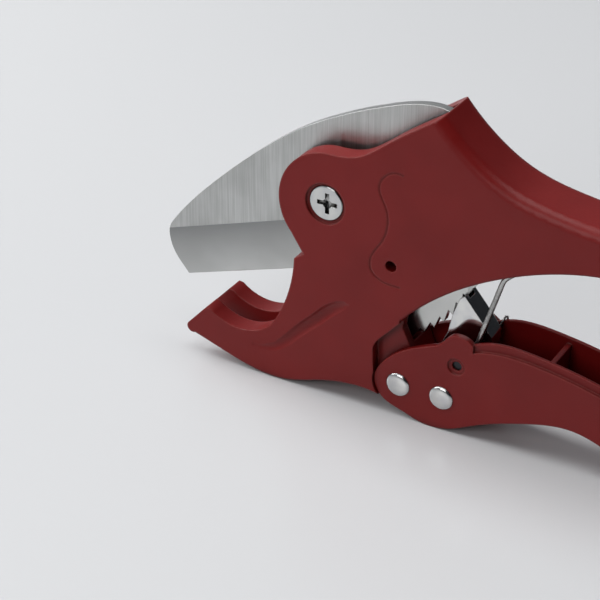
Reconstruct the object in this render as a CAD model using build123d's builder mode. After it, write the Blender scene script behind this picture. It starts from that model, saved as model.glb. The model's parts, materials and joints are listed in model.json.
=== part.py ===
from build123d import *

import os
from math import cos, radians, sin

# Ratchet pipe cutter for plastic pipe, in millimetres, +Z up, the handles towards +X.
# Outlines lie in the XZ plane and are written from the blade's pivot. The body, the jaw and the
# handles are symmetric about Y = 0, and the side with the head screw faces -Y.

# ---------------------------------------------------------------- driving dimensions

HANDLE_END = 150.0  # pivot to the end of the upper handle
BLADE_REACH = 68.4  # pivot to the far end of the blade
PIVOT_X = (BLADE_REACH - HANDLE_END) / 2  # centres the tool on X = 0
PIVOT_Z = 73.0  # pivot above the surface that the tool stands on

BODY_HALF = 11.0  # half width of the cast body
SLOT_HALF = 4.0  # half width of the blade slot
LUG_HALF = 7.3  # half width of the lug between the handle's walls
HANDLE_HALF = 10.1  # half width of the pressed lower handle
HANDLE_WALL = 2.2
CHANNEL_HALF = 8.4  # half width of the channel inside the upper handle
SADDLE_ROUND = 4.0  # rounding along the top of the upper handle
CAST_ROUND = 1.0  # rounding of the other cast edges

BLADE_HALF = 1.5  # half thickness of the blade
RIM_RADIUS = 54.3  # tips of the ratchet teeth
TOOTH_DEPTH = 2.2
TOOTH_PITCH = 5.0  # degrees
SLOT_RADIUS = RIM_RADIUS + 0.8
EDGE_SLOPE = 18.4  # cutting edge above the horizontal, degrees

RIVET_1 = (28.0, -60.6)  # handle pivot
RIVET_2 = (44.0, -60.6)  # drive pawl pivot
SPRING_PIN = (48.8, -47.0)  # small pin through the lower handle
STOP_PIN = (24.5, -16.1)  # pin that limits the blade's swing
STOP_PAWL = (62.0, -2.0)  # pivot of the stop pawl
SPRING_PEG = (74.6, -1.6)  # peg through the opening spring's coil
BAIL_PIVOT = (141.0, 3.0)
BAIL_LENGTH = 32.2
HOOK_HALF = 3.0  # half width of the lower handle's hook, which the bail catches

SLEEVE_RADIUS = 5.0  # the blade turns on this sleeve
SCREW_RADIUS = 3.0
SCREW_HEAD = 6.25
RIVET_RADIUS = 3.5
RIVET_HEAD = 4.4
RIVET_PROUD = 0.9
PIN_RADIUS = 1.75
STOP_PIN_RADIUS = 2.0
BAIL_WIRE = 1.25  # wire radii
OPENING_WIRE = 0.9
BLADE_WIRE = 0.8
PAWL_WIRE = 0.4
RUNNING_GAP = 0.05  # radial clearance of a pin in its hole
PRESS_GAP = 0.01  # radial clearance of a pin that doesn't turn

OPEN_SWING = 46.0  # blade swing from this pose to fully open, degrees
SHUT_SWING = 25.0  # blade swing from this pose to fully shut, degrees
HANDLE_SWING = 20  # swing of the lower handle towards the upper one, degrees


# ---------------------------------------------------------------- helpers


def at(point, y=0.0):
    """Position in the part's own frame of an outline point."""
    return (PIVOT_X + point[0], y, PIVOT_Z + point[1])


def side(y=0.0, centre=(0, 0)):
    """Plane of the outlines at a given Y, its origin on the pivot or on another axis."""
    return Plane(origin=at(centre, y), x_dir=(1, 0, 0), z_dir=(0, -1, 0))


def polar(radius, angle):
    """Outline point at a radius and an angle in degrees from the pivot."""
    return (radius * cos(radians(angle)), radius * sin(radians(angle)))


def turned(point, centre, angle):
    """Outline point turned about a centre by an angle in degrees."""
    x, z = point[0] - centre[0], point[1] - centre[1]
    c, s = cos(radians(angle)), sin(radians(angle))
    return (centre[0] + c * x - s * z, centre[1] + s * x + c * z)


def disc(centre, radius, y_low, y_high):
    """Add a disc along Y to the part in progress."""
    with BuildSketch(side(y_high, centre)) as profile:
        Circle(radius)
    extrude(profile.sketch, amount=y_high - y_low)


def bore(centre, radius, y_low, y_high):
    """Cut a round hole along Y from the part in progress."""
    with BuildSketch(side(y_high, centre)) as profile:
        Circle(radius)
    extrude(profile.sketch, amount=y_high - y_low, mode=Mode.SUBTRACT)


def arc_slot(centre, radius, start, sweep, half_width, half_depth):
    """Cut a slot along an arc, its angles in degrees, from the part in progress."""
    near = polar(radius, start)
    far = polar(radius, start + sweep)
    with BuildSketch(side(0, centre)) as profile:
        with BuildLine():
            CenterArc((0, 0), radius + half_width, start, sweep)
            CenterArc(far, half_width, start + sweep, 180)
            CenterArc((0, 0), radius - half_width, start, sweep)
            CenterArc(near, half_width, start + 180, 180)
        make_face()
    extrude(profile.sketch, amount=half_depth, both=True, mode=Mode.SUBTRACT)


def both_walls(inner, outer):
    """The two spans along Y between an inner and an outer half width."""
    return ((-outer, -inner), (inner, outer))


def on_axis(centre):
    """Plane through an axis along Y: its x is the radius, its y runs along +Y."""
    return Plane(origin=at(centre), x_dir=(1, 0, 0), z_dir=(0, 0, 1))


def edges_at(builder, points):
    """The outline edges nearest to some outline points, on both sides of the body."""
    sides = (-BODY_HALF, BODY_HALF)
    return [builder.edges().sort_by_distance(at(point, y))[0] for point in points for y in sides]


def wire(path, radius):
    """Add round wire along a path to the part in progress."""
    with BuildSketch(Plane(origin=path @ 0, z_dir=path % 0)) as section:
        Circle(radius)
    sweep(section.sketch, path=path, transition=Transition.TRANSFORMED)


def groove(points, depths, radius):
    """Cut a round-bottomed groove along outline points into both cheeks, at a depth per point."""
    for facing in (-1, 1):
        heights = [facing * (BODY_HALF + radius - depth) for depth in depths]
        with BuildLine() as course:
            Spline(*[at(point, height) for point, height in zip(points, heights)])
        with BuildSketch(Plane(origin=course.line @ 0, z_dir=course.line % 0)) as section:
            Circle(radius)
        sweep(section.sketch, path=course.line, mode=Mode.SUBTRACT)


def winding(centre, radius, start, y_high, pitch, turns):
    """A coil's path around an axis along Y, towards -Y from a start angle in degrees."""
    direction = (cos(radians(start)), 0, sin(radians(start)))
    plane = Plane(origin=at(centre, y_high), x_dir=direction, z_dir=(0, -1, 0))
    return Edge.make_helix(pitch, pitch * turns, radius).moved(plane.location)


def write(part, name):
    """Label a finished piece and write it under its own name."""
    part.label = name
    export_step(part, f"parts/{name}.step")


os.makedirs("parts", exist_ok=True)

# ---------------------------------------------------------------- main body

SEAT_START = (-21.2, -52.3)
SEAT_END = (-45.6, -53.2)
HORN = (39.8, 39.2)
GRIP_TOP = (143, 11.2)
GRIP_UNDER = (144.5, -8.2)
RECESS_RADIUS = 9.35  # the lug's recess about the handle pivot
RECESS_KNEE = (18.6, -48.5)
CREASE = ((8.8, -35), (2.5, -38.8), (-3.8, -45), (-10, -51), (-18.5, -59.4), (-28.5, -61.8))
CREASE_DEPTHS = (0.1, 1.2, 1.3, 1.1, 0.6, 0.1)
CREASE_ROUND = 2.6
SEAM = (
    (28, 17), (25, 17.3), (21.3, 15), (19.6, 10.6), (21.9, 5), (22.8, -2.5), (20.6, -8.8),
    (17.5, -13.8), (17.1, -18.8), (20, -21.9), (23.8, -23), (28, -23),
)
SEAM_DEPTH = 0.3
SEAM_ROUND = 0.4
BLIND_END = -9.5  # holes that open on the far side end here

with BuildPart() as main_body:
    with BuildSketch(side()):
        with BuildLine():
            ThreePointArc((0, 18.1), (-17.3, 0.8), (-12.6, -13.6))
            Line((-12.6, -13.6), (-7.9, -20.8))
            Line((-7.9, -20.8), (-11.6, -23.2))
            Spline((-11.6, -23.2), (-12.9, -33), (-17, -45), SEAT_START)
            ThreePointArc(SEAT_START, (-33.4, -57.4), SEAT_END)
            Line(SEAT_END, (-47.4, -52.9))
            Line((-47.4, -52.9), (-54.9, -61))
            ThreePointArc((-54.9, -61), (-55.5, -63.2), (-53.6, -64.8))
            Spline((-53.6, -64.8), (-37, -70), (-20, -PIVOT_Z), tangents=((1, -0.3), (1, 0)))
            Spline((-20, -PIVOT_Z), (-5, -69.6), (10, -66.2), (23, -67.2), tangents=((1, 0), (1, -0.3)))
            ThreePointArc((23, -67.2), (35.6, -64), (35.2, -56.2))
            Line((35.2, -56.2), (27.6, -40))
            Line((27.6, -40), (28.2, -35.8))
            Spline((28.2, -35.8), (45, -20.5), (65, -9), (90, -1), (112, 0.2), GRIP_UNDER)
            ThreePointArc(GRIP_UNDER, (HANDLE_END, 1.5), GRIP_TOP)
            Spline(GRIP_TOP, (124, 14.8), (103, 14.2), (80, 16.4), (64, 20.6), (51.5, 28), HORN)
            Spline(HORN, (25, 28.9), (12.5, 20), (0, 18.1), tangents=((-1, -0.75), (-1, 0)))
        make_face()
    extrude(amount=BODY_HALF, both=True)

    # Rounded saddle along the top of the grip, and the smaller rounding under grip and jaw.
    fillet(edges_at(main_body, [(80, 16.4)]), SADDLE_ROUND)
    fillet(edges_at(main_body, [(-37, -70), (-5, -69.6), (65, -9)]), CAST_ROUND)

    # Blade slot: the blade's whole sweep in the head, open through the jaw.
    with BuildSketch(side()):
        with Locations((0, 0)):
            Circle(SLOT_RADIUS)
        Polygon((-80, 20), (-20, 20), (-14, -54), (-31, -80), (-80, -80), align=None)
    extrude(amount=SLOT_HALF, both=True, mode=Mode.SUBTRACT)

    # Channel under the grip.
    with BuildSketch(side()):
        with BuildLine():
            Polyline((50, 21.5), (50, -40), (130, -40), (144, -8), (146, 0), (142, 6.5))
            Spline((142, 6.5), (124, 10.8), (103, 10.2), (80, 12.4), (64, 16.4), (50, 21.5))
        make_face()
    extrude(amount=CHANNEL_HALF, both=True, mode=Mode.SUBTRACT)

    # Both sides of the lug are cut back for the lower handle's walls, close to their round ends.
    recess_arc = [
        (RIVET_1[0] + polar(RECESS_RADIUS, angle)[0], RIVET_1[1] + polar(RECESS_RADIUS, angle)[1])
        for angle in (165, 205, 246)
    ]
    for y_low, y_high in both_walls(LUG_HALF, BODY_HALF + 1):
        with BuildSketch(side(y_high)):
            with BuildLine():
                Spline((28, -36.6), (22.6, -42.6), RECESS_KNEE, tangents=((-0.8, -1), (-0.3, -1)))
                Line(RECESS_KNEE, recess_arc[0])
                ThreePointArc(*recess_arc)
                foot = recess_arc[-1]
                Polyline(foot, (foot[0], -80), (46, -80), (46, -36.6), (28, -36.6))
            make_face()
        extrude(amount=y_high - y_low, mode=Mode.SUBTRACT)

    # Head screw's countersink, sleeve bore and the far side's recess.
    with BuildSketch(on_axis((0, 0))):
        Polygon((0, -12), (7.3, -12), (7.3, -10), (6.4, -10), (3.1, -6.95), (0, -6.95), align=None)
        sleeve_bore = SLEEVE_RADIUS + PRESS_GAP
        Polygon(
            (0, -6.95), (sleeve_bore, -6.95), (sleeve_bore, 9), (7.3, 9), (7.3, 12), (0, 12),
            align=None,
        )
    revolve(axis=Axis(at((0, 0)), (0, 1, 0)), mode=Mode.SUBTRACT)

    # Moulded crease above the jaw, and the fine seam line round the stop pin.
    groove(CREASE, CREASE_DEPTHS, CREASE_ROUND)
    groove(SEAM, [SEAM_DEPTH] * len(SEAM), SEAM_ROUND)

    bore(RIVET_1, RIVET_RADIUS + RUNNING_GAP, -BODY_HALF, BODY_HALF)
    bore(STOP_PIN, STOP_PIN_RADIUS + PRESS_GAP, -BODY_HALF, BODY_HALF)
    bore(STOP_PAWL, STOP_PIN_RADIUS + PRESS_GAP, BLIND_END, BODY_HALF)
    bore(SPRING_PEG, PIN_RADIUS + PRESS_GAP, BLIND_END, BODY_HALF)
    bore(BAIL_PIVOT, BAIL_WIRE + RUNNING_GAP, -9.9, 9.9)
write(main_body.part, "main_body")

# ---------------------------------------------------------------- blade

TIP = (-61.5, -48.5)
HEEL = (-6.0, -30.0)
BEVEL = 18.5  # height of the hollow-ground bevel above the cutting edge
EDGE_HALF = 0.12  # half thickness left at the cutting edge
RIM_TOP = 43.0  # degrees, upper end of the rim
RIM_FOOT = -60.0
FIRST_TOOTH = -58.0
TEETH = 14
STOP_RADIUS = (STOP_PIN[0] ** 2 + STOP_PIN[1] ** 2) ** 0.5
STOP_ANGLE = -33.3  # bearing of the stop pin from the pivot
STOP_SPARE = 1.5  # spare travel at each end of the stop slot, degrees
SPRING_END_ANGLE = -30.0  # where the return spring enters the blade
SPRING_COIL = 10.5  # mean radius of the return spring

with BuildPart() as blade:
    rim_low = polar(RIM_RADIUS, RIM_FOOT)
    rim_high = polar(RIM_RADIUS, RIM_TOP)
    with BuildSketch(side()):
        with BuildLine():
            Line(TIP, HEEL)
            Polyline(HEEL, (10, -27.5), (19, -35), rim_low)
            ThreePointArc(rim_low, polar(RIM_RADIUS, -8), rim_high)
            Spline(rim_high, (31, 38.2), (15, 33.8), (-5, 25), tangents=((-0.9, 0.5), (-1, -0.5)))
            Spline((-5, 25), (-25, 12.2), (-50, -9.5), (-65, -26), tangents=((-1, -0.5), (-0.6, -0.8)))
            Spline((-65, -26), (-BLADE_REACH, -33.5), tangents=((-0.6, -0.8), (0, -1)))
            Spline((-BLADE_REACH, -33.5), TIP, tangents=((0, -1), (0.6, -0.8)))
        make_face()
        for tooth in range(TEETH):
            low = FIRST_TOOTH + tooth * TOOTH_PITCH
            high = low + TOOTH_PITCH
            root = polar(RIM_RADIUS - TOOTH_DEPTH, high)
            outside = (polar(RIM_RADIUS + 1, high), polar(RIM_RADIUS + 1, low))
            Polygon(polar(RIM_RADIUS, low), root, *outside, align=None, mode=Mode.SUBTRACT)
        Circle(SLEEVE_RADIUS + RUNNING_GAP, mode=Mode.SUBTRACT)
        with Locations(polar(SPRING_COIL, SPRING_END_ANGLE)):
            Circle(BLADE_WIRE + 0.2, mode=Mode.SUBTRACT)
    extrude(amount=BLADE_HALF, both=True)
    slot_start = STOP_ANGLE - SHUT_SWING - STOP_SPARE
    slot_sweep = OPEN_SWING + SHUT_SWING + 2 * STOP_SPARE
    arc_slot((0, 0), STOP_RADIUS, slot_start, slot_sweep, STOP_PIN_RADIUS + 0.15, BLADE_HALF + 1)

    # Hollow-ground bevels on both faces, down to the cutting edge.
    slope = (cos(radians(EDGE_SLOPE)), 0, sin(radians(EDGE_SLOPE)))
    before_tip = (TIP[0] - 12 * slope[0], TIP[1] - 12 * slope[2])
    with BuildSketch(Plane(origin=at(before_tip), x_dir=(0, 1, 0), z_dir=slope)):
        with BuildLine():
            ThreePointArc((EDGE_HALF, 0), (0.68, BEVEL / 2), (BLADE_HALF, BEVEL))
            Polyline((BLADE_HALF, BEVEL), (3, BEVEL), (3, -3), (EDGE_HALF, -3), (EDGE_HALF, 0))
        make_face()
        mirror(about=Plane.YZ)
    extrude(amount=12 + 52, mode=Mode.SUBTRACT)
write(blade.part, "blade")

# ---------------------------------------------------------------- blade pivot

with BuildPart() as head_screw:
    with BuildSketch(on_axis((0, 0))):
        Polygon(
            (0, -10.4), (5.8, -10.4), (SCREW_HEAD, -10.1), (SCREW_RADIUS, -7), (SCREW_RADIUS, 6), (0, 6),
            align=None,
        )
    revolve(axis=Axis(at((0, 0)), (0, 1, 0)))
    with BuildSketch(side(-8.2).rotated((0, 0, 12))):
        Rectangle(7.2, 1.5)
        Rectangle(1.5, 7.2)
        Circle(1.6)
    extrude(amount=3, mode=Mode.SUBTRACT)
write(head_screw.part, "head_screw")

with BuildPart() as pivot_sleeve:
    with BuildSketch(on_axis((0, 0))):
        thread_radius = SCREW_RADIUS + PRESS_GAP
        with BuildLine():
            Polyline(
                (thread_radius, -6.9), (SLEEVE_RADIUS, -6.9), (SLEEVE_RADIUS, 9.05), (SCREW_HEAD, 9.05),
                (SCREW_HEAD, 10.1), (5.8, 10.4), (0, 10.4), (0, 6.4), (thread_radius, 6.4),
                (thread_radius, -6.9),
            )
        make_face()
    revolve(axis=Axis(at((0, 0)), (0, 1, 0)))
    with BuildSketch(side(12)):
        Rectangle(14, 1.6)
    extrude(amount=12 - 9.4, mode=Mode.SUBTRACT)
write(pivot_sleeve.part, "pivot_sleeve")

WASHER_RADIUS = 9.0

with BuildPart() as blade_washers:
    for y_low, y_high in both_walls(BLADE_HALF + RUNNING_GAP, SLOT_HALF):
        with BuildSketch(side(y_high)):
            Circle(WASHER_RADIUS)
            Circle(SLEEVE_RADIUS + PRESS_GAP, mode=Mode.SUBTRACT)
        extrude(amount=y_high - y_low)
write(blade_washers.part, "blade_washers")

with BuildPart() as blade_stop_pin:
    disc(STOP_PIN, STOP_PIN_RADIUS, -6.5, 6.5)
write(blade_stop_pin.part, "blade_stop_pin")

# Return spring: most of a turn between blade and cheek, hooked round the stop pin.
SPRING_Y = -2.75
HOOK_ANGLE = -108.3  # bearing at which the straight leg leaves the coil
HOOK_RADIUS = STOP_PIN_RADIUS + BLADE_WIRE + 0.1

with BuildPart() as blade_return_spring:
    foot = polar(HOOK_RADIUS, HOOK_ANGLE)
    hook_start = (STOP_PIN[0] + foot[0], STOP_PIN[1] + foot[1])
    hook_middle = (STOP_PIN[0] + HOOK_RADIUS, STOP_PIN[1])
    hook_end = (STOP_PIN[0], STOP_PIN[1] + HOOK_RADIUS)
    coil_end = polar(SPRING_COIL, SPRING_END_ANGLE)
    with BuildLine(side(SPRING_Y)) as leg:
        ThreePointArc(hook_end, hook_middle, hook_start)
        Line(hook_start, polar(SPRING_COIL, HOOK_ANGLE))
        ThreePointArc(polar(SPRING_COIL, HOOK_ANGLE), polar(SPRING_COIL, 110), coil_end)
    wire(leg.line, BLADE_WIRE)
    disc(coil_end, BLADE_WIRE, SPRING_Y, BLADE_HALF - 0.5)
write(blade_return_spring.part, "blade_return_spring")

# ---------------------------------------------------------------- lower handle

RIM_STEP = 3.0  # the rim is stepped in over this height
RIM_HALF = 9.0
WEB = 2.4
LUG_ROUND = 8.9  # round end of the walls about the first rivet
HANDLE_FOOT = (134, -PIVOT_Z)
BULGE_FOOT = (40, -PIVOT_Z)
WALL_START = polar(LUG_ROUND, 142.6)
WALL_FOOT = polar(LUG_ROUND, 240)
HANDLE_TIP = (149.4, -64)


def from_rivet(offset):
    """Outline point at an offset from the first rivet."""
    return (RIVET_1[0] + offset[0], RIVET_1[1] + offset[1])


with BuildPart() as lower_handle:
    with BuildSketch(side()):
        with BuildLine():
            ThreePointArc(from_rivet(WALL_START), from_rivet((-LUG_ROUND, 0)), from_rivet(WALL_FOOT))
            Spline(from_rivet(WALL_FOOT), (31, -70.9), BULGE_FOOT, tangents=((1, -0.5), (1, 0)))
            Spline(
                BULGE_FOOT, (55, -68), (75, -60.2), (90, -57.7), (104, -61.8), (120, -69.6), HANDLE_FOOT,
                tangents=((1, 0), (1, 0)),
            )
            Spline(HANDLE_FOOT, HANDLE_TIP, (145, -57.6), tangents=((1, 0), (-1, 0.5)))
            Spline((145, -57.6), (120, -46.4), (97, -38.9), (75, -35), (63, -34.7), (54.2, -37.4))
            Spline((54.2, -37.4), (51, -35.6), (46.6, -36), (43.4, -39.4), (41, -41.4))
            Spline((41, -41.4), (35, -43.9), (26, -49.4), from_rivet(WALL_START))
        make_face()
    extrude(amount=HANDLE_HALF, both=True)

    # Open channel between the walls; the web starts behind the body's lug.
    with BuildSketch(side()):
        with BuildLine():
            Polyline((147, -20), (10, -20), (10, -80), (37.6, -80), (37.6, -70.4))
            Spline(
                (37.6, -70.4), (55, -65.5), (75, -57.8), (90, -55.3), (104, -59.3), (120, -67),
                (134, -70.6),
            )
            Spline((134, -70.6), (144, -68.6), (147, -62), tangents=((1, 0), (0, 1)))
            Line((147, -62), (147, -20))
        make_face()
    extrude(amount=HANDLE_HALF - HANDLE_WALL, both=True, mode=Mode.SUBTRACT)

    # Stepped rim outside both walls.
    for y_low, y_high in both_walls(RIM_HALF, HANDLE_HALF + 1):
        with BuildSketch(side(y_high)):
            with BuildLine():
                Spline((152, -64), (120, -49.4), (97, -42), (75, -38), (64, -37.8), (54.5, -40))
                Line((54.5, -40), (54.5, -30))
                Line((54.5, -30), (152, -30))
                Line((152, -30), (152, -64))
            make_face()
        extrude(amount=y_high - y_low, mode=Mode.SUBTRACT)

    # Cross ribs in the channel.
    for x, foot, top in ((80, -57, -37.8), (112, -63.5, -45.5)):
        with BuildSketch(side()):
            Polygon((x - 0.9, foot), (x + 0.9, foot), (x + 0.9, top), (x - 0.9, top), align=None)
        extrude(amount=HANDLE_HALF - HANDLE_WALL, both=True)

    for centre in (RIVET_1, RIVET_2):
        bore(centre, RIVET_RADIUS + PRESS_GAP, -12, 12)
    bore(SPRING_PIN, PIN_RADIUS + PRESS_GAP, -12, 12)
    for y_low, y_high in both_walls(HANDLE_HALF - 0.7, 12):
        bore(SPRING_PIN, 3.1, y_low, y_high)

    # Cast hook in the middle of the channel, for the latch bail.
    with BuildSketch(side()):
        Polygon(
            (135.5, -71.6), (142, -70.4), (141, -58), (137, -53.8), (131, -54.6), (130, -56),
            (133.5, -57.6), (135, -60), align=None,
        )
    extrude(amount=HOOK_HALF, both=True)
write(lower_handle.part, "lower_handle")

LUG_WASHER = (LUG_HALF + RUNNING_GAP, HANDLE_HALF - HANDLE_WALL - RUNNING_GAP)

with BuildPart() as lug_washers:
    for y_low, y_high in both_walls(*LUG_WASHER):
        with BuildSketch(side(y_high)):
            with Locations(RIVET_1):
                Circle(6)
                Circle(RIVET_RADIUS + PRESS_GAP, mode=Mode.SUBTRACT)
        extrude(amount=y_high - y_low)
write(lug_washers.part, "lug_washers")

for name, centre in (("handle_rivet", RIVET_1), ("pawl_rivet", RIVET_2)):
    with BuildPart() as rivet:
        disc(centre, RIVET_RADIUS, -HANDLE_HALF, HANDLE_HALF)
        for y_low, y_high in both_walls(HANDLE_HALF, HANDLE_HALF + RIVET_PROUD):
            disc(centre, RIVET_HEAD, y_low, y_high)
        ends = rivet.faces().filter_by(Axis.Y).group_by(Axis.Y)
        fillet([ends[0][0].edges()[0], ends[-1][0].edges()[0]], 0.5)
    write(rivet.part, name)

with BuildPart() as spring_pin:
    disc(SPRING_PIN, PIN_RADIUS, -8.6, 8.6)
write(spring_pin.part, "spring_pin")

# ---------------------------------------------------------------- drive pawl

PAWL_HALF = 3.8
PAWL_NOTCH = 2.0  # half width of the notch over the blade's rim
PAWL_TURN = 1.35  # the pawl turns back by this many degrees for each degree of the handle
PAWL_EYE = 6.0
PAWL_HUB = 5.5
PAWL_HUB_HALF = 7.8
PAWL_SLOT_RADIUS = 14.4  # the small pin runs in this slot of the pawl

with BuildPart() as drive_pawl:
    with BuildSketch(side()):
        Polygon(
            (38.6, -59), (38.4, -47), (41.2, -41.6), (42.4, -38.8), (43.8, -31.9), (46.1, -25.3),
            (47.8, -23.9), (54.6, -31.9), (58, -36.5), (57.4, -46), (49.6, -60), align=None,
        )
        with Locations(RIVET_2):
            Circle(PAWL_EYE)
    extrude(amount=PAWL_HALF, both=True)
    # Notch that straddles the blade's rim, clear of it over the handle's whole travel.
    rim_centres = [
        turned(turned((0, 0), RIVET_1, -swing), RIVET_2, PAWL_TURN * swing)
        for swing in range(0, HANDLE_SWING + 1, 4)
    ]
    with BuildSketch(side()):
        with Locations(*rim_centres):
            Circle(RIM_RADIUS + 0.5)
    extrude(amount=PAWL_NOTCH, both=True, mode=Mode.SUBTRACT)
    arc_slot(RIVET_2, PAWL_SLOT_RADIUS, 66, 36, PIN_RADIUS + 0.3, PAWL_HALF + 1)
    disc(RIVET_2, PAWL_HUB, -PAWL_HUB_HALF, PAWL_HUB_HALF)
    bore(RIVET_2, RIVET_RADIUS + RUNNING_GAP, -9, 9)
write(drive_pawl.part, "drive_pawl")

# Thin torsion spring that presses the drive pawl into the teeth and hooks over the far wall.
PAWL_COIL = 6.4
PAWL_COIL_START = 60.0
PAWL_COIL_FAR = 7.3
PAWL_COIL_NEAR = 4.3

with BuildPart() as pawl_spring:
    lift = polar(PAWL_COIL, PAWL_COIL_START)
    start = (RIVET_2[0] + lift[0], RIVET_2[1] + lift[1])
    with BuildLine() as far_leg:
        knee = at((55.2, -40.5), PAWL_COIL_FAR)
        rise = Line(at(start, PAWL_COIL_FAR), knee)
        bend, brink, end = at((57.2, -34.6), 8), at((57.5, -35.4), 9.55), at((57.6, -38), 9.55)
        Spline(knee, bend, brink, end, tangents=(rise % 1, (0, 0, -1)))
    with BuildLine() as near_leg:
        Spline(at(start, PAWL_COIL_NEAR), at((44.6, -51), 4.5), at((40.6, -44.6), 4.5))
    pawl_coil = winding(RIVET_2, PAWL_COIL, PAWL_COIL_START, PAWL_COIL_FAR, 1, 3)
    wire(Wire([*far_leg.edges(), pawl_coil, *near_leg.edges()]), PAWL_WIRE)
write(pawl_spring.part, "pawl_spring")

# ---------------------------------------------------------------- opening spring

COIL_RADIUS = 4.6
COIL_HALF = 6.2
COIL_START = 164.0

with BuildPart() as opening_spring:
    lift = polar(COIL_RADIUS, COIL_START)
    leaves = (SPRING_PEG[0] + lift[0], SPRING_PEG[1] + lift[1])
    eye = PIN_RADIUS + OPENING_WIRE + 0.1
    eye_start = (SPRING_PIN[0] + 0.96 * eye, SPRING_PIN[1] - 0.28 * eye)
    with BuildLine(side(-COIL_HALF)) as rod:
        FilletPolyline(leaves, (67.6, -7.6), (62, -12.2), eye_start, radius=2)
        ThreePointArc(eye_start, (SPRING_PIN[0], SPRING_PIN[1] - eye), (SPRING_PIN[0] - eye, SPRING_PIN[1]))
    with BuildLine(side(COIL_HALF)) as roof_leg:
        FilletPolyline(leaves, (72.6, 8), (84, 8.6), radius=2)
    spring_coil = winding(SPRING_PEG, COIL_RADIUS, COIL_START, COIL_HALF, 2 * COIL_HALF / 6, 6)
    wire(Wire([*roof_leg.edges(), spring_coil, *rod.edges()]), OPENING_WIRE)
write(opening_spring.part, "opening_spring")

with BuildPart() as spring_peg:
    disc(SPRING_PEG, PIN_RADIUS, BLIND_END + 0.1, BODY_HALF)
write(spring_peg.part, "spring_peg")

# ---------------------------------------------------------------- stop pawl

with BuildPart() as stop_pawl:
    with BuildSketch(side()):
        with Locations(STOP_PAWL):
            Circle(4)
        tip = polar(RIM_RADIUS + 0.5, 5)
        Polygon(tip, (tip[0] + 1.8, tip[1] + 1.6), (64.4, 1.2), (58.6, -4), align=None)
        with Locations(STOP_PAWL):
            Circle(STOP_PIN_RADIUS + RUNNING_GAP, mode=Mode.SUBTRACT)
    extrude(amount=3.6, both=True)
write(stop_pawl.part, "stop_pawl")

with BuildPart() as stop_pawl_pin:
    disc(STOP_PAWL, STOP_PIN_RADIUS, BLIND_END + 0.1, BODY_HALF)
write(stop_pawl_pin.part, "stop_pawl_pin")

with BuildPart() as stop_pawl_spring:
    top = (STOP_PAWL[0], STOP_PAWL[1] + 2.8)
    with BuildLine(side(7.4)) as up_leg:
        Line(top, (STOP_PAWL[0] + 7, STOP_PAWL[1] + 9))
    stop_coil = winding(STOP_PAWL, 2.8, 90, 7.4, 1, 3)
    wire(Wire([*up_leg.edges(), stop_coil]), PAWL_WIRE)
write(stop_pawl_spring.part, "stop_pawl_spring")

# ---------------------------------------------------------------- latch bail

with BuildPart() as latch_bail:
    bar_x = PIVOT_X + BAIL_PIVOT[0] - BAIL_LENGTH
    with BuildLine(Plane.XY.offset(PIVOT_Z + BAIL_PIVOT[1])) as bail_path:
        FilletPolyline(
            (PIVOT_X + BAIL_PIVOT[0], -9.8), (PIVOT_X + BAIL_PIVOT[0], -6.2), (bar_x, -6.2),
            (bar_x, 6.2), (PIVOT_X + BAIL_PIVOT[0], 6.2), (PIVOT_X + BAIL_PIVOT[0], 9.8), radius=2,
        )
    wire(bail_path.line, BAIL_WIRE)
write(latch_bail.part, "latch_bail")
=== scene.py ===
import json
from math import cos, pi, radians, sin, tau

import bmesh
import bpy
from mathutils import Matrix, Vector


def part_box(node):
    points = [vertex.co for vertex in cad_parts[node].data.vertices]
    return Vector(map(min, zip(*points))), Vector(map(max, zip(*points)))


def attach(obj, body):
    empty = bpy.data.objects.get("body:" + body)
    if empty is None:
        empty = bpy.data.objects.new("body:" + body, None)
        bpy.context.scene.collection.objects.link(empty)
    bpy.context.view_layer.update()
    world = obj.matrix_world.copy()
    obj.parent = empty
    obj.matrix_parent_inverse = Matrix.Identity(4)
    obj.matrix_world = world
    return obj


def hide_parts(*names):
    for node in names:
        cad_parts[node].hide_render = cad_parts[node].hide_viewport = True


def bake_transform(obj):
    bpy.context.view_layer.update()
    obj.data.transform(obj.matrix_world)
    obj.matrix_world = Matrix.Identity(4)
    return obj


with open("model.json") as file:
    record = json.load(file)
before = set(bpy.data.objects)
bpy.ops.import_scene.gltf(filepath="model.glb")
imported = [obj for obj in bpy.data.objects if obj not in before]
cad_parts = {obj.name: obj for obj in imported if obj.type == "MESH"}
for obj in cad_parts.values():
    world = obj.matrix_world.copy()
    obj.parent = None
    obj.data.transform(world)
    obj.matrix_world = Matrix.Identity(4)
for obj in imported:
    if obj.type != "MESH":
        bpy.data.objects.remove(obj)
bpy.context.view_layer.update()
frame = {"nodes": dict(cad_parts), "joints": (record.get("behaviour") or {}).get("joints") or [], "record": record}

MM = 0.001

# ------------------------------------------------------------------ nodes and colours

# A Mix node's colour sockets share their names with its other sockets, so they go by number.
FACTOR, FIRST, SECOND, MIXED = 0, 6, 7, 2
RAY_SAMPLES = 6  # of the Bevel and Ambient Occlusion nodes


def linear(code):
    """Linear RGBA of an sRGB hex colour."""
    channels = [int(code[i:i + 2], 16) / 255 for i in (0, 2, 4)]
    return tuple(c / 12.92 if c <= 0.04045 else ((c + 0.055) / 1.055) ** 2.4 for c in channels) + (1.0,)


def add(tree, kind, inputs=None, **settings):
    """Add a node with its settings; an input is a value or another node's output."""
    made = tree.nodes.new(kind)
    for name, value in settings.items():
        setattr(made, name, value)
    for key, value in (inputs or {}).items():
        if isinstance(value, bpy.types.NodeSocket):
            tree.links.new(value, made.inputs[key])
        else:
            made.inputs[key].default_value = value
    return made


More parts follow.
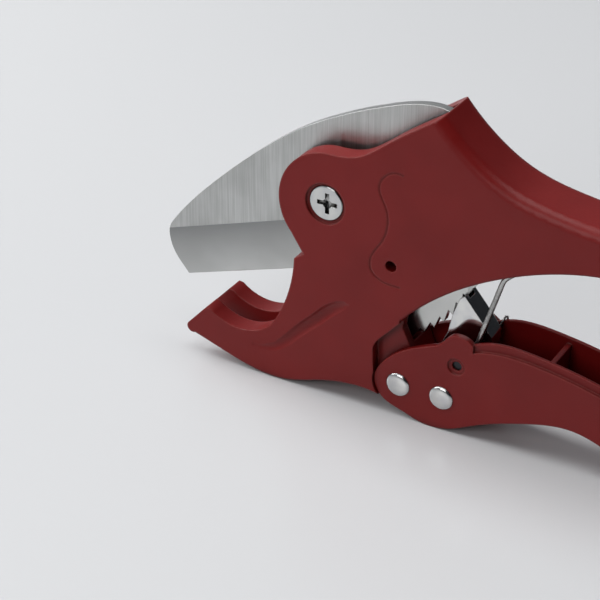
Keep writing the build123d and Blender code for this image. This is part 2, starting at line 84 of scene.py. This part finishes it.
def finish_of(name, **constants):
    """A material with its shader's constant values, and the piece's own coordinates."""
    material = bpy.data.materials.new(name)
    material.use_nodes = True
    tree = material.node_tree
    shader = tree.nodes["Principled BSDF"]
    for key, value in constants.items():
        shader.inputs[key.replace("_", " ")].default_value = value
    place = add(tree, "ShaderNodeTexCoord").outputs["Object"]
    return material, tree, shader, place


def pattern(tree, place, size, detail=3.0, roughness=0.5, stretch=(1, 1, 1), turn=(0, 0, 0)):
    """Noise whose features are about size metres, stretched along the piece's axes."""
    mapping = add(tree, "ShaderNodeMapping", {"Vector": place, "Scale": stretch, "Rotation": turn})
    noise = add(tree, "ShaderNodeTexNoise", {
        "Vector": mapping.outputs["Vector"], "Scale": 1 / size, "Detail": detail, "Roughness": roughness})
    return noise.outputs["Fac"]


def two_tone(tree, value, low, high, first, second, most=1.0):
    """Lay the second colour over the first as a value goes from low to high, at most this thickly."""
    share = add(tree, "ShaderNodeMapRange", {
        "Value": value, "From Min": low, "From Max": high, "To Max": most})
    mixed = add(tree, "ShaderNodeMix", {
        FACTOR: share.outputs["Result"], FIRST: first, SECOND: second}, data_type="RGBA")
    return mixed.outputs[MIXED]


def edges(tree, radius):
    """Rounded normals near edges, and a mask that is 1 on an edge and 0 on flats."""
    eased = add(tree, "ShaderNodeBevel", {"Radius": radius}, samples=RAY_SAMPLES).outputs["Normal"]
    true = add(tree, "ShaderNodeNewGeometry").outputs["Normal"]
    turned = add(tree, "ShaderNodeVectorMath", {0: eased, 1: true}, operation="DOT_PRODUCT")
    mask = add(tree, "ShaderNodeMapRange", {
        "Value": turned.outputs["Value"], "From Min": 0.985, "From Max": 0.80})
    return eased, mask.outputs["Result"]


def painted_crevice_shade(tree, reach):
    """Mask for painted shade: 1 deep inside holes and corners, 0 on open faces."""
    openness = add(tree, "ShaderNodeAmbientOcclusion", {"Distance": reach}, samples=RAY_SAMPLES)
    mask = add(tree, "ShaderNodeMapRange", {
        "Value": openness.outputs["AO"], "From Min": 0.55, "From Max": 0.95, "To Min": 1, "To Max": 0})
    return mask.outputs["Result"]


def surface(tree, shader, colour, sheen, smooth, rough, relief, depth, normal=None):
    """Give a shader its colour, a roughness that follows one pattern, and relief from another."""
    gloss = add(tree, "ShaderNodeMapRange", {
        "Value": sheen, "From Min": 0.3, "From Max": 0.7, "To Min": smooth, "To Max": rough})
    raised = add(tree, "ShaderNodeBump", {"Height": relief, "Distance": depth})
    if normal is not None:
        tree.links.new(normal, raised.inputs["Normal"])
    tree.links.new(colour, shader.inputs["Base Color"])
    tree.links.new(gloss.outputs["Result"], shader.inputs["Roughness"])
    tree.links.new(raised.outputs["Normal"], shader.inputs["Normal"])


# ------------------------------------------------------------------ finishes


def red_stove_enamel():
    """Stove enamel on die-cast aluminium: an even satin red, faintly orange-peeled, with painted shade in corners,
    and paler on edges where it is rubbed thin and a highlight is painted.
    """
    material, tree, shader, place = finish_of("red_stove_enamel", Specular_IOR_Level=0.25)
    eased, edge = edges(tree, 0.9 * MM)
    cloud = pattern(tree, place, 24 * MM, detail=2)
    peel = pattern(tree, place, 1.6 * MM, detail=2)  # drawn coarser than real orange peel
    grit = pattern(tree, place, 0.5 * MM, detail=2)
    rub = pattern(tree, place, 5 * MM, detail=6, roughness=0.7)
    rub_and_highlight = add(tree, "ShaderNodeMapRange", {
        "Value": rub, "From Min": 0.35, "From Max": 0.7, "To Min": 0.15, "To Max": 0.75})
    colour = two_tone(tree, cloud, 0.35, 0.65, linear("6B0F0E"), linear("731413"))
    colour = two_tone(tree, grit, 0.62, 0.75, colour, linear("4A0E0C"), most=0.25)
    # painted shade: the red goes darker deep in holes and corners
    colour = two_tone(tree, painted_crevice_shade(tree, 3 * MM), 0, 1, colour, linear("3A0806"), most=0.55)
    # paler pink along edges: partly paint rubbed thin, partly a painted edge highlight
    colour = two_tone(tree, edge, 0, 1, colour, linear("8C3A33"), most=rub_and_highlight.outputs["Result"])
    peeled = add(tree, "ShaderNodeBump", {"Height": peel, "Distance": 0.03 * MM, "Normal": eased})
    surface(tree, shader, colour, rub, 0.3, 0.42, grit, 0.008 * MM, peeled.outputs["Normal"])
    return material


EDGE_SLOPE = radians(18.4)  # the cutting edge above the horizontal
EDGE_TIP = Vector((-102.3, 0, 24.5)) * MM
BEVEL_HEIGHT = 18.5 * MM  # of the hollow grind above the cutting edge
SHOULDER = 0.25 * MM  # over which the grind gives way to the flat
BELT_ROUGHNESS = (0.28, 0.4)
GRIND_ROUGHNESS = 0.2


def ground_blade_steel():
    """Stainless blade steel: belt-ground flats whose lines run down the face, and a finer concave
    grind above the cutting edge, with a painted reflection from dark at its shoulder to bright at the edge."""
    material, tree, shader, place = finish_of("ground_blade_steel", Metallic=1.0)
    eased, edge = edges(tree, 0.25 * MM)
    lines = pattern(tree, place, 0.45 * MM, detail=4, stretch=(1, 1, 0.02))
    broad = pattern(tree, place, 3 * MM, detail=2, stretch=(1, 1, 0.06))
    stain = pattern(tree, place, 18 * MM, detail=3)
    upward = Vector((-sin(EDGE_SLOPE), 0, cos(EDGE_SLOPE)))
    along = add(tree, "ShaderNodeVectorMath", {0: place, 1: upward}, operation="DOT_PRODUCT")
    height = add(tree, "ShaderNodeMath", {
        0: along.outputs["Value"], 1: EDGE_TIP.dot(upward)}, operation="SUBTRACT").outputs[0]
    ground = add(tree, "ShaderNodeMapRange", {
        "Value": height, "From Min": BEVEL_HEIGHT, "From Max": BEVEL_HEIGHT - SHOULDER}).outputs["Result"]
    flat = two_tone(tree, lines, 0.3, 0.7, linear("ADAEAC"), linear("C4C5C4"))
    flat = two_tone(tree, stain, 0.4, 0.7, flat, linear("8A8A88"), most=0.3)
    # painted reflection: the grind goes from bright at the cutting edge to dark at its shoulder
    grind_painted_reflection = two_tone(tree, height, 0.5 * MM, BEVEL_HEIGHT, linear("C5C6C4"), linear("868787"))
    grind_painted_reflection = two_tone(tree, stain, 0.35, 0.65, grind_painted_reflection, linear("8C8C8A"), most=0.3)
    colour = two_tone(tree, ground, 0, 1, flat, grind_painted_reflection)
    colour = two_tone(tree, edge, 0, 1, colour, linear("E2E2E0"), most=0.6)
    smooth, rough = (
        add(tree, "ShaderNodeMapRange", {
            "Value": ground, "To Min": belt, "To Max": GRIND_ROUGHNESS}).outputs["Result"]
        for belt in BELT_ROUGHNESS)
    surface(tree, shader, colour, broad, smooth, rough, lines, 0.006 * MM, eased)
    return material


def nickel_plated_steel():
    """Nickel plate on turned steel: bright and smooth, with faint turning lines and handling marks, and painted
    shade near black deep in its recesses.
    """
    material, tree, shader, place = finish_of("nickel_plated_steel", Metallic=1.0)
    eased, edge = edges(tree, 0.4 * MM)
    mark = pattern(
        tree, place, 0.7 * MM, detail=4, roughness=0.7, stretch=(1, 1, 0.3), turn=(0.4, 0.2, 0.7))
    cloud = pattern(tree, place, 4 * MM, detail=2)
    colour = two_tone(tree, cloud, 0.35, 0.65, linear("C3C4C5"), linear("D2D2D0"))
    # painted shade: near black deep in the screw's cross and other recesses
    colour = two_tone(tree, painted_crevice_shade(tree, 2.5 * MM), 0, 1, colour, linear("1C1B1A"), most=0.9)
    colour = two_tone(tree, edge, 0, 1, colour, linear("F0F0EE"), most=0.4)
    surface(tree, shader, colour, mark, 0.07, 0.18, mark, 0.003 * MM, eased)
    return material


def blackened_steel():
    """Chemically blackened, oiled steel: near black, with the steel bared along edges."""
    material, tree, shader, place = finish_of("blackened_steel", Metallic=0.75)
    eased, edge = edges(tree, 0.35 * MM)
    oil = pattern(tree, place, 4 * MM, detail=4)
    grain = pattern(tree, place, 0.5 * MM, detail=3)
    bared = add(tree, "ShaderNodeMapRange", {
        "Value": grain, "From Min": 0.35, "From Max": 0.6, "To Min": 0.3, "To Max": 1})
    colour = two_tone(tree, oil, 0.35, 0.65, linear("1E1E20"), linear("323235"))
    colour = two_tone(tree, edge, 0, 1, colour, linear("A8A8A6"), most=bared.outputs["Result"])
    surface(tree, shader, colour, oil, 0.22, 0.4, grain, 0.008 * MM, eased)
    return material


def drawn_spring_wire():
    """Hard-drawn spring wire: grey, satin, with fine drawing lines and darker oil film."""
    material, tree, shader, place = finish_of("drawn_spring_wire", Metallic=1.0)
    draw = pattern(tree, place, 0.35 * MM, detail=3)
    film = pattern(tree, place, 3 * MM, detail=3)
    colour = two_tone(tree, film, 0.4, 0.65, linear("A3A3A1"), linear("7C7C7B"))
    colour = two_tone(tree, draw, 0.35, 0.65, colour, linear("C8C8C6"), most=0.5)
    surface(tree, shader, colour, film, 0.22, 0.36, draw, 0.006 * MM)
    return material


FINISHES = {
    "painted_casting": red_stove_enamel(),
    "blade_steel": ground_blade_steel(),
    "plated_steel": nickel_plated_steel(),
    "blackened_steel": blackened_steel(),
    "spring_wire": drawn_spring_wire(),
}
SLOT_OF = {row["node"]: row["material_slot"] for row in frame["record"]["subparts"]}
BODY_OF = {
    node: body for body, members in frame["record"]["behaviour"]["bodies"].items() for node in members}

for node, piece in frame["nodes"].items():
    piece.data.materials.clear()
    piece.data.materials.append(FINISHES[SLOT_OF[node]])

# ------------------------------------------------------------------ rounded castings

WELD = 0.002 * MM  # corners nearer than this are one
FLAT = radians(0.6)  # faces that meet at less are one
SHARP = radians(32)  # edges that turn by more are rounded


def baked(piece):
    """Turn a piece's modifiers into its plain mesh."""
    bpy.context.view_layer.update()
    evaluated = piece.evaluated_get(bpy.context.evaluated_depsgraph_get())
    solid = bpy.data.meshes.new_from_object(evaluated)
    piece.modifiers.clear()
    piece.data = solid
    return solid


def softened(node, width):
    """A copy of a CAD piece with its sharp edges rounded, which stands for it."""
    mesh = frame["nodes"][node].data.copy()
    work = bmesh.new()
    work.from_mesh(mesh)
    bmesh.ops.remove_doubles(work, verts=work.verts, dist=WELD)
    bmesh.ops.dissolve_limit(
        work, angle_limit=FLAT, use_dissolve_boundaries=False, verts=work.verts, edges=work.edges)
    for face in work.faces:
        face.smooth = True
    work.to_mesh(mesh)
    work.free()
    piece = bpy.data.objects.new(node + "_finished", mesh)
    bpy.context.scene.collection.objects.link(piece)
    bevel = piece.modifiers.new("rounding", "BEVEL")
    bevel.width = width
    bevel.segments = 3
    bevel.limit_method = "ANGLE"
    bevel.angle_limit = SHARP
    bevel.miter_outer = "MITER_ARC"
    bevel.use_clamp_overlap = True
    flats = piece.modifiers.new("flats_stay_flat", "WEIGHTED_NORMAL")
    flats.mode = "FACE_AREA"
    flats.weight = 80
    solid = baked(piece)
    solid.materials.clear()
    solid.materials.append(FINISHES[SLOT_OF[node]])
    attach(piece, BODY_OF[node])
    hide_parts(node)


softened("main_body", 0.5 * MM)
softened("lower_handle", 0.45 * MM)
softened("head_screw", 0.15 * MM)

# ------------------------------------------------------------------ springs, bail and rivets


def middle(node):
    """Centre of a CAD piece's box."""
    low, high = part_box(node)
    return (low + high) / 2


def pivot(joint):
    """A joint's place."""
    return Vector(next(row["pos_m"] for row in frame["joints"] if row["name"] == joint))


def around(centre, radius, angle, y):
    """Point at an angle in degrees, counter-clockwise seen from the front, about an axis along Y."""
    turn = radians(angle)
    return Vector((centre.x + radius * cos(turn), y, centre.z + radius * sin(turn)))


def arc(centre, radius, start, end, y_start, y_end, step=10):
    """Points along an arc or a coil about an axis along Y."""
    count = max(2, int(abs(end - start) / step))
    return [
        around(centre, radius, start + (end - start) * n / count, y_start + (y_end - y_start) * n / count)
        for n in range(count + 1)]


def round_corners(points, radius, steps=6):
    """A run of straight pieces with its corners rounded."""
    course = [points[0]]
    for before, corner, after in zip(points, points[1:], points[2:]):
        start = corner + (before - corner).normalized() * radius
        end = corner + (after - corner).normalized() * radius
        for n in range(steps + 1):
            t = n / steps
            course.append(start * (1 - t) ** 2 + corner * 2 * t * (1 - t) + end * t ** 2)
    return course + [points[-1]]


def tree_named(name, sizes):
    """A Geometry Nodes tree with a geometry, a finish and named sizes as its inputs."""
    tree = bpy.data.node_groups.new(name, "GeometryNodeTree")
    tree.interface.new_socket("Geometry", in_out="INPUT", socket_type="NodeSocketGeometry")
    for size, kind in sizes.items():
        tree.interface.new_socket(size, in_out="INPUT", socket_type=kind)
    tree.interface.new_socket("Finish", in_out="INPUT", socket_type="NodeSocketMaterial")
    tree.interface.new_socket("Geometry", in_out="OUTPUT", socket_type="NodeSocketGeometry")
    return tree, tree.nodes.new("NodeGroupInput").outputs


def finish_tree(tree, grown, finish):
    """End a tree in one real, smooth mesh with its finish."""
    smooth = add(tree, "GeometryNodeSetShadeSmooth", {"Geometry": grown, "Shade Smooth": True})
    real = add(tree, "GeometryNodeRealizeInstances", {"Geometry": smooth.outputs["Geometry"]})
    merged = add(tree, "GeometryNodeMergeByDistance", {
        "Geometry": real.outputs["Geometry"], "Distance": WELD / 2})
    coated = add(tree, "GeometryNodeSetMaterial", {
        "Geometry": merged.outputs["Geometry"], "Material": finish})
    add(tree, "NodeGroupOutput", {"Geometry": coated.outputs["Geometry"]})


WIRE_SIDES = 14


def round_wire():
    """Round wire along a path."""
    tree, given = tree_named("round_wire", {"Wire radius": "NodeSocketFloat"})
    path = add(tree, "GeometryNodeMeshToCurve", {"Mesh": given["Geometry"]})
    section = add(tree, "GeometryNodeCurvePrimitiveCircle", {
        "Resolution": WIRE_SIDES, "Radius": given["Wire radius"]})
    swept = add(tree, "GeometryNodeCurveToMesh", {
        "Curve": path.outputs["Curve"], "Profile Curve": section.outputs["Curve"], "Fill Caps": True})
    finish_tree(tree, swept.outputs["Mesh"], given["Finish"])
    return tree


def mirrored_halves():
    """One turned half set at every point, each turned by the point's own angle about X."""
    tree, given = tree_named("mirrored_halves", {"Half": "NodeSocketObject"})
    half = add(tree, "GeometryNodeObjectInfo", {"Object": given["Half"]})
    turn = add(tree, "GeometryNodeInputNamedAttribute", {"Name": "turn"}, data_type="FLOAT")
    angles = add(tree, "ShaderNodeCombineXYZ", {"X": turn.outputs["Attribute"]})
    facing = add(tree, "FunctionNodeEulerToRotation", {"Euler": angles.outputs["Vector"]})
    placed = add(tree, "GeometryNodeInstanceOnPoints", {
        "Points": given["Geometry"], "Instance": half.outputs["Geometry"],
        "Rotation": facing.outputs["Rotation"]})
    finish_tree(tree, placed.outputs["Instances"], given["Finish"])
    return tree


def grown(node, tree, mesh, **sizes):
    """A plain mesh that a tree makes from a mesh, which stands for a CAD piece."""
    piece = bpy.data.objects.new(node + "_finished", mesh)
    bpy.context.scene.collection.objects.link(piece)
    modifier = piece.modifiers.new("shape", "NODES")
    modifier.node_group = tree
    sizes["Finish"] = FINISHES[SLOT_OF[node]]
    for socket in tree.interface.items_tree:
        name = socket.name.replace(" ", "_")
        if socket.in_out == "INPUT" and name in sizes:
            modifier[socket.identifier] = sizes[name]
    baked(piece)
    if node in BENDS:
        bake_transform(piece)
    else:
        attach(piece, BODY_OF[node])
    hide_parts(node)


def path_mesh(points):
    """A mesh of edges through points in order."""
    mesh = bpy.data.meshes.new("path")
    mesh.from_pydata(points, [(n, n + 1) for n in range(len(points) - 1)], [])
    return mesh


HEAD_AXIS = pivot("blade_pivot")
HANDLE_RIVET = pivot("handle_pivot")
PAWL_RIVET = pivot("drive_pawl_pivot")
STOP_PAWL = pivot("stop_pawl_pivot")
BAIL_AXIS = pivot("latch_swing")
STOP_PIN = middle("blade_stop_pin")
SPRING_PIN = middle("spring_pin")
SPRING_PEG = middle("spring_peg")


def near(x, z, y):
    """A point given in millimetres from the blade's axis."""
    return Vector((HEAD_AXIS.x + x * MM, y * MM, HEAD_AXIS.z + z * MM))


# Springs that bend: the body before the first point, the body after the second, and the two points. Only the names
# are read here: these springs are baked where they stand and join no body.
BENDS = {
    "opening_spring": ("body", "lower_handle", near(66, -9, 0), near(50.6, -42.3, 0)),
    "pawl_spring": ("lower_handle", "drive_pawl", near(50, -50, 0), near(42, -50, 0)),
}


def opening_spring_path():
    """Leg under the roof of the grip, six turns round the peg, and the long rod to the eye."""
    half, coil, eye = 6.2 * MM, 4.6 * MM, 2.75 * MM
    first = around(SPRING_PEG, coil, 164, half)
    last = around(SPRING_PEG, coil, 164, -half)
    leg = round_corners([near(84, 8.6, 6.2), near(72.6, 8, 6.2), first], 2 * MM)
    turns = arc(SPRING_PEG, coil, 164, 164 + 6 * 360, half, -half)
    hook = arc(SPRING_PIN, eye, -16.3, -180, -half, -half)
    rod = round_corners([last, near(67.6, -7.6, -6.2), near(62, -12.2, -6.2), hook[0]], 2 * MM)
    return leg + turns[1:] + rod[1:] + hook[1:]


def pawl_spring_path():
    """Thin leg over the far wall, three turns round the pawl's hub, and the leg on the pawl."""
    coil = 6.4 * MM
    far = [near(57.6, -38, 9.55), near(57.6, -36.4, 9.55), near(57.5, -35.2, 9.3), near(57.2, -34.7, 8.4)]
    knee = [near(56.4, -36.8, 7.6), near(55.2, -40.5, 7.3)]
    turns = arc(PAWL_RIVET, coil, 60, 60 + 3 * 360, 7.3 * MM, 4.3 * MM)
    return far + knee + turns + [near(44.6, -51, 4.5), near(40.6, -44.6, 4.5)]


def return_spring_path():
    """Hook round the stop pin, straight leg, and the turn to the end that enters the blade."""
    y = -2.75 * MM
    hook = arc(STOP_PIN, 2.9 * MM, 90, -108.3, y, y)
    turn = arc(HEAD_AXIS, 10.5 * MM, 251.7, -30, y, y)
    return hook + turn + [around(HEAD_AXIS, 10.5 * MM, -30, 1.0 * MM)]


def stop_spring_path():
    """Three thin turns beside the stop pawl and one leg against the roof of the grip."""
    leg = STOP_PAWL + Vector((7 * MM, 7.4 * MM, 9 * MM))
    return [leg] + arc(STOP_PAWL, 2.8 * MM, 90, 90 + 3 * 360, 7.4 * MM, 4.4 * MM)


def bail_path():
    """U-shaped bail: two short stubs in the walls, two legs and the cross bar."""
    bar = BAIL_AXIS.x - 32.2 * MM
    x, z, leg, stub = BAIL_AXIS.x, BAIL_AXIS.z, 6.2 * MM, 9.8 * MM
    corners = [(x, -stub), (x, -leg), (bar, -leg), (bar, leg), (x, leg), (x, stub)]
    return round_corners([Vector((cx, cy, z)) for cx, cy in corners], 2 * MM)


WIRE = round_wire()
for node, course, radius in (
    ("opening_spring", opening_spring_path(), 0.9 * MM),
    ("pawl_spring", pawl_spring_path(), 0.4 * MM),
    ("blade_return_spring", return_spring_path(), 0.8 * MM),
    ("stop_pawl_spring", stop_spring_path(), 0.4 * MM),
    ("latch_bail", bail_path(), 1.25 * MM),
):
    grown(node, WIRE, path_mesh(course), Wire_radius=radius)


def turned_half(profile, sides=72):
    """Half of a turned pin about the Y axis, from a profile of radius and y in millimetres."""
    work = bmesh.new()
    corners = [work.verts.new((radius * MM, y * MM, 0)) for radius, y in profile]
    rim = [work.edges.new(pair) for pair in zip(corners, corners[1:])]
    bmesh.ops.spin(
        work, geom=corners + rim, cent=(0, 0, 0), axis=(0, 1, 0), dvec=(0, 0, 0), angle=tau, steps=sides)
    bmesh.ops.remove_doubles(work, verts=work.verts, dist=WELD / 2)
    bmesh.ops.recalc_face_normals(work, faces=work.faces)
    mesh = bpy.data.meshes.new("turned_half")
    work.to_mesh(mesh)
    work.free()
    return bpy.data.objects.new("turned_half", mesh)


HALF_RIVET = turned_half((
    (0, -10.98), (1.6, -10.97), (2.7, -10.92), (3.4, -10.8), (3.85, -10.62), (4.15, -10.4), (4.33, -10.2),
    (4.38, -10.1), (3.5, -10.1), (3.5, -9), (3.5, 0),
))
bpy.context.scene.collection.objects.link(HALF_RIVET)
HALVES = mirrored_halves()
for node, centre in (("handle_rivet", HANDLE_RIVET), ("pawl_rivet", PAWL_RIVET)):
    spots = bpy.data.meshes.new("spots")
    spots.from_pydata([(centre.x, 0, centre.z)] * 2, [], [])
    spots.attributes.new("turn", "FLOAT", "POINT").data.foreach_set("value", (0.0, pi))
    grown(node, HALVES, spots, Half=HALF_RIVET)
bpy.data.objects.remove(HALF_RIVET)

# ------------------------------------------------------------------ floor, light and camera


def plane(name, width, depth, material):
    """A flat sheet in the XY plane, centred on the origin."""
    mesh = bpy.data.meshes.new(name)
    work = bmesh.new()
    bmesh.ops.create_grid(work, x_segments=8, y_segments=8, size=0.5)
    bmesh.ops.scale(work, vec=(width, depth, 1), verts=work.verts)
    work.to_mesh(mesh)
    work.free()
    made = bpy.data.objects.new(name, mesh)
    mesh.materials.append(material)
    bpy.context.scene.collection.objects.link(made)
    return made


def studio_floor():
    """Pale, smooth laminate table top with a soft sheen."""
    material, tree, shader, place = finish_of("pale_laminate", Roughness=0.22, Specular_IOR_Level=0.35)
    cloud = pattern(tree, place, 400 * MM, detail=1)
    tone = two_tone(tree, cloud, 0, 1, linear("C0C1C3"), linear("C8C9CA"))
    tree.links.new(tone, shader.inputs["Base Color"])
    return material


floor = plane("floor", 6, 6, studio_floor())

BRIGHT_SIDE = (-0.93, 0.1, 0.3)  # direction of the room's pale wall

world = bpy.data.worlds.new("studio")
world.use_nodes = True
bpy.context.scene.world = world
sky = world.node_tree
heading = add(sky, "ShaderNodeTexCoord").outputs["Generated"]
side_on = add(sky, "ShaderNodeVectorMath", {0: heading, 1: BRIGHT_SIDE}, operation="DOT_PRODUCT")
tint = two_tone(sky, side_on.outputs["Value"], -0.35, 0.75, linear("3A3C40"), linear("F2F4F8"))
sky.links.new(tint, sky.nodes["Background"].inputs["Color"])
sky.nodes["Background"].inputs["Strength"].default_value = 0.5


def softbox(name, position, size, power):
    """A square white area light aimed at the blade's axis."""
    light = bpy.data.lights.new(name, "AREA")
    light.size = size
    light.energy = power
    holder = bpy.data.objects.new(name, light)
    holder.location = position
    holder.rotation_euler = (HEAD_AXIS - Vector(position)).to_track_quat("-Z", "Y").to_euler()
    bpy.context.scene.collection.objects.link(holder)


softbox("left", (-1.5, -0.1, 1.3), 1.6, 39)
softbox("front", (-0.3, -1.9, 1.2), 1.2, 13)
softbox("overhead", (0.0, 0.0, 2.4), 1.8, 27)

bpy.context.scene.view_settings.view_transform = "Standard"

camera = bpy.data.objects.new("camera", bpy.data.cameras.new("camera"))
camera.data.lens = 105
camera.data.sensor_width = 36
camera.location = (0.20686, -0.4472, 0.33264)
camera.rotation_euler = (radians(59.5), 0, radians(30.5))
camera.data.dof.use_dof = False
bpy.context.scene.collection.objects.link(camera)
bpy.context.scene.camera = camera
